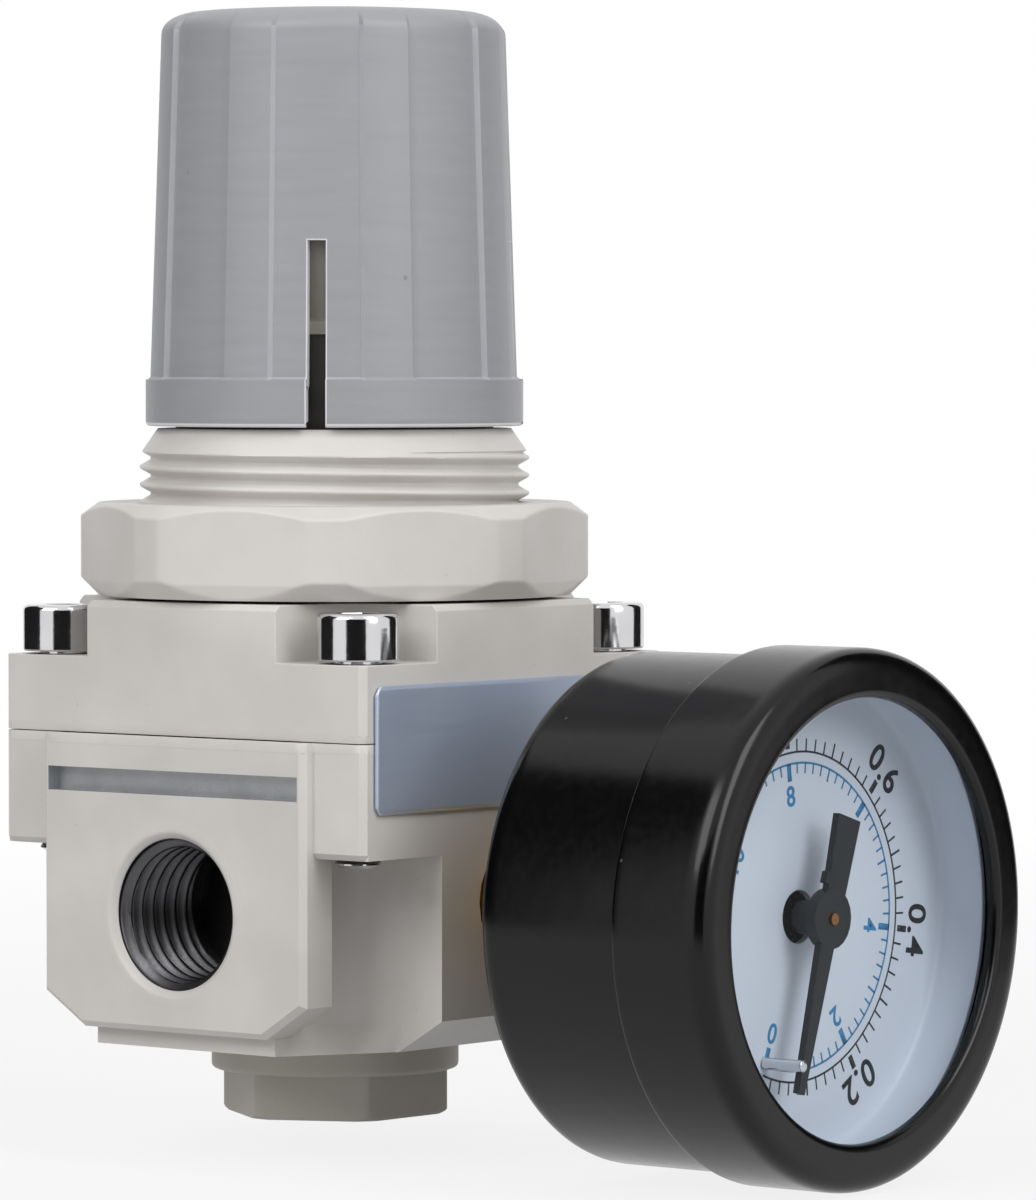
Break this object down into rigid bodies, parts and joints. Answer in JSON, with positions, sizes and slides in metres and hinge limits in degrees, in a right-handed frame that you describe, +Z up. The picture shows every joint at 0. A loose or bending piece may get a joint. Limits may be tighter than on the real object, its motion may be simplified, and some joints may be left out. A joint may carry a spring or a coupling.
{
  "type": "air pressure regulator with gauge",
  "caption": "Modular compressed-air pressure regulator: square cast body with side ports, pull-up adjusting knob, panel nut, bottom valve guide and a dial gauge on the front.",
  "frame": {"origin": "where the port axis crosses the vertical axis of valve, spring and knob", "axes": "+Z up along the knob's axis, X along the two ports with the inlet at -X and the outlet at +X, -Y the way the gauge looks"},
  "size_m": [0.0438, 0.0774, 0.0965],
  "materials": {
    "cast_body": "cream powder-coated die casting",
    "knob_plastic": "grey moulded plastic",
    "guide_plastic": "warm grey moulded plastic",
    "plated_steel": "bright nickel plating",
    "zinc_steel": "zinc plating",
    "spring_steel": "drawn spring wire",
    "brass": "turned brass",
    "bronze": "phosphor bronze",
    "rubber": "nitrile rubber",
    "black_enamel": "gloss black enamel on pressed steel",
    "dial_white": "white enamel with printed scale",
    "pointer_black": "matt black enamel",
    "lens_clear": "clear moulded acrylic",
    "foil": "plain brushed foil"
  },
  "bodies": {
    "housing": {"body": "cast_body", "bonnet": "cast_body", "panel_nut": "cast_body", "bonnet_screw_1": "plated_steel", "bonnet_screw_2": "plated_steel", "bonnet_screw_3": "plated_steel", "bonnet_screw_4": "plated_steel", "diaphragm": "rubber", "valve_guide": "guide_plastic", "guide_o_ring": "rubber", "valve_spring": "spring_steel", "adjusting_spring": "spring_steel", "gauge_port_plug": "zinc_steel", "label_plate": "foil", "gauge_case": "black_enamel", "gauge_bezel": "black_enamel", "gauge_lens": "lens_clear", "gauge_dial": "dial_white", "gauge_socket": "brass", "bourdon_tube": "bronze", "movement_back_plate": "brass", "movement_front_plate": "brass", "hairspring": "bronze", "pointer_stop": "plated_steel"},
    "adjusting_screw": {"adjusting_screw": "zinc_steel"},
    "knob": {"knob": "knob_plastic"},
    "adjusting_nut": {"adjusting_nut": "brass"},
    "diaphragm_group": {"diaphragm_plate": "zinc_steel", "relief_seat": "brass"},
    "valve": {"valve_poppet": "brass", "valve_seat_pad": "rubber", "stem_o_ring": "rubber"},
    "pointer": {"gauge_pointer": "pointer_black", "pointer_arbor": "bronze"},
    "sector": {"sector_gear": "brass"},
    "link": {"tip_link": "brass"}
  },
  "joints": [
    {"name": "knob_turn", "type": "hinge", "parent": "housing", "child": "adjusting_screw", "pos_m": [0, 0, 0.05], "axis": [0, 0, -1], "range_deg": [0, 1700]},
    {"name": "knob_lift", "type": "slide", "parent": "adjusting_screw", "child": "knob", "axis": [0, 0, 1], "range_m": [0, 0.0033]},
    {"name": "nut_travel", "type": "slide", "parent": "housing", "child": "adjusting_nut", "axis": [0, 0, -1], "range_m": [0, 0.00625], "deforming": ["adjusting_spring"]},
    {"name": "diaphragm_travel", "type": "slide", "parent": "housing", "child": "diaphragm_group", "axis": [0, 0, -1], "range_m": [0, 0.0012], "stiffness_N_per_m": 1500, "springref_m": -0.003, "deforming": ["diaphragm"]},
    {"name": "valve_travel", "type": "slide", "parent": "housing", "child": "valve", "axis": [0, 0, -1], "range_m": [0, 0.0012], "deforming": ["valve_spring"]},
    {"name": "pointer_turn", "type": "hinge", "parent": "housing", "child": "pointer", "pos_m": [0, -0.049, 0.001], "axis": [0, -1, 0], "range_deg": [0, 255], "stiffness_Nm_per_rad": 0.00002, "springref_deg": -114.59},
    {"name": "sector_swing", "type": "hinge", "parent": "housing", "child": "sector", "pos_m": [0, -0.045, -0.00805], "axis": [0, -1, 0], "range_deg": [-32.5, 0]},
    {"name": "link_swing", "type": "hinge", "parent": "sector", "child": "link", "pos_m": [-0.00453, -0.045, -0.00887], "axis": [0, -1, 0], "range_deg": [0, 46]}
  ],
  "couplings": [
    {"joint": "nut_travel", "follows": "knob_turn", "m_per_rad": 0.00019894},
    {"joint": "valve_travel", "follows": "diaphragm_travel", "ratio": 1},
    {"joint": "sector_swing", "follows": "pointer_turn", "ratio": -0.125},
    {"joint": "link_swing", "follows": "pointer_turn", "ratio": 0.17279}
  ]
}
